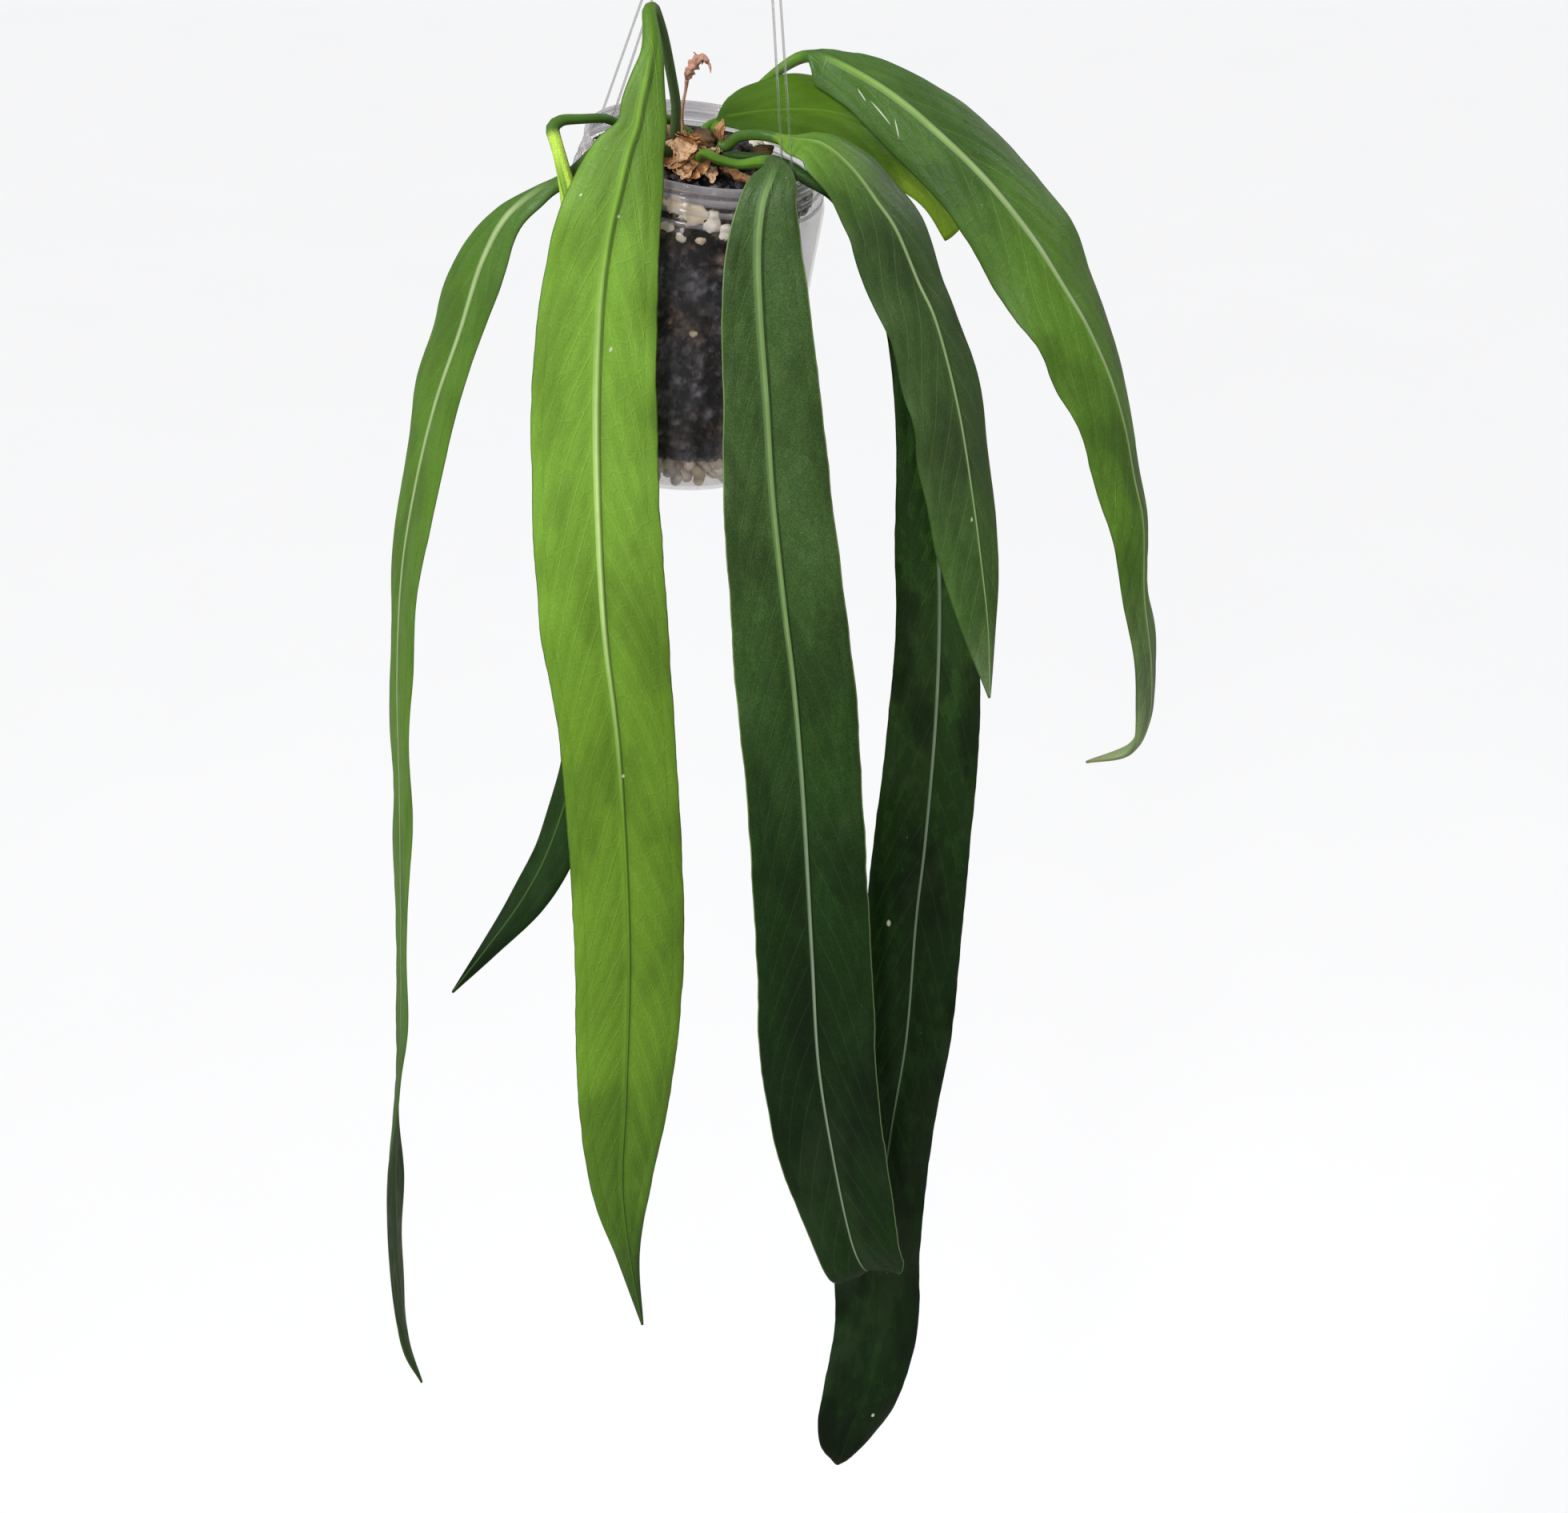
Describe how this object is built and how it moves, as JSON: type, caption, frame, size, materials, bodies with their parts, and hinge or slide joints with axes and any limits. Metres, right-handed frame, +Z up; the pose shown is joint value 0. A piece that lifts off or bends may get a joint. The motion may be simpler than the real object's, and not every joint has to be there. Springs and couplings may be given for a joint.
{
  "type": "hanging potted plant",
  "caption": "Strap-leaved aroid with long hanging leaves in a clear plastic pot, hung by clear cords from a moulded hook.",
  "frame": {"origin": "inside top of the hook, where a rail or peg carries it", "axes": "+Z up, X to the right in the front view, +Y to the back; the longest leaves hang in front (-Y)"},
  "size_m": [0.4346, 0.175, 1.0088],
  "materials": {
    "clear_pot": "clear, slightly milky plastic",
    "pebbles": "matt pale pebbles",
    "substrate": "damp dark bark mix",
    "stem_cork": "rough corky stem",
    "leaf_bright": "fresh yellow-green leaf, satin",
    "leaf_mid": "mid-green leaf, satin",
    "leaf_dark": "very dark green leaf, soft sheen",
    "dried_flower": "dry pinkish-brown",
    "dried_sheath": "papery tan",
    "bark_chip": "rough bark chip",
    "clear_cord": "clear nylon",
    "clear_hook": "clear moulded plastic"
  },
  "bodies": {
    "root": {"pot": "clear_pot", "drainage_pebbles": "pebbles", "substrate": "substrate", "crown_stem": "stem_cork", "leaf_front_left": "leaf_bright", "leaf_far_left": "leaf_mid", "leaf_left_behind": "leaf_dark", "leaf_front_dark": "leaf_dark", "leaf_right": "leaf_mid", "leaf_lowest": "leaf_dark", "leaf_back_right": "leaf_bright", "leaf_far_right": "leaf_mid", "dried_flower_stalk": "dried_flower", "dried_sheath_front": "dried_sheath", "dried_sheath_left": "dried_sheath", "dried_sheath_right": "dried_sheath", "dried_sheath_back": "dried_sheath", "bark_chip_left": "bark_chip", "bark_chip_back": "bark_chip", "bark_chip_front": "bark_chip", "bark_chip_right": "bark_chip", "hanger_cord_left": "clear_cord", "hanger_cord_right": "clear_cord", "hanger_hook": "clear_hook"}
  },
  "joints": []
}
